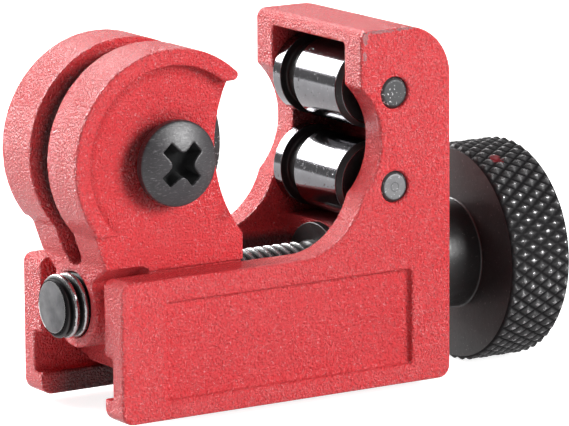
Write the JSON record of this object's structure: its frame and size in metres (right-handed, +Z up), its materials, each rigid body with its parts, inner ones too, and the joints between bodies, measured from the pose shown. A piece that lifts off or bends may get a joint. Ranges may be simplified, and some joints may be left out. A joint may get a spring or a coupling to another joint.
{
  "type": "mini tube cutter",
  "caption": "Mini tube cutter: cast body with rollers, a sliding jaw with a cutter wheel, and a feed screw with a knurled knob that closes the jaw on a tube.",
  "frame": {"origin": "on the ground under the middle of the whole tool, in the body's mid-plane", "axes": "+X from the body's open end to the knob, along the feed screw; +Y across the body, away from the wheel screw's head; +Z up"},
  "size_m": [0.0522, 0.0212, 0.0348],
  "materials": {
    "red_coating": "satin red powder coat on die-cast zinc, fine orange-peel grain",
    "black_steel": "black oxide, oiled satin",
    "ground_steel": "ground bright, with blackened groove and ends",
    "pin_steel": "plain drawn steel, dull"
  },
  "bodies": {
    "frame": {"body": "red_coating", "upper_roller_pin": "pin_steel", "lower_roller_pin": "pin_steel"},
    "feed": {"feed_screw": "black_steel", "retaining_clip": "black_steel", "thrust_washer": "pin_steel", "knob": "black_steel", "knob_pin": "pin_steel"},
    "slide": {"jaw": "red_coating", "wheel_screw": "black_steel"},
    "wheel": {"cutter_wheel": "black_steel"},
    "upper_roll": {"upper_roller": "ground_steel"},
    "lower_roll": {"lower_roller": "ground_steel"}
  },
  "joints": [
    {"name": "knob_turn", "type": "hinge", "parent": "frame", "child": "feed", "pos_m": [0.01, 0, 0.0106], "axis": [-1, 0, 0], "range_deg": [-1980, 3312]},
    {"name": "jaw_slide", "type": "slide", "parent": "frame", "child": "slide", "axis": [1, 0, 0], "range_m": [-0.0055, 0.0092]},
    {"name": "wheel_spin", "type": "hinge", "parent": "slide", "child": "wheel", "pos_m": [-0.0159, 0, 0.02425], "axis": [0, 1, 0], "continuous": true},
    {"name": "upper_roller_spin", "type": "hinge", "parent": "frame", "child": "upper_roll", "pos_m": [0.0069, 0, 0.0287], "axis": [0, 1, 0], "continuous": true},
    {"name": "lower_roller_spin", "type": "hinge", "parent": "frame", "child": "lower_roll", "pos_m": [0.0069, 0, 0.0198], "axis": [0, 1, 0], "continuous": true}
  ],
  "couplings": [
    {"joint": "knob_turn", "follows": "jaw_slide", "rad_per_m": 6283.2}
  ]
}
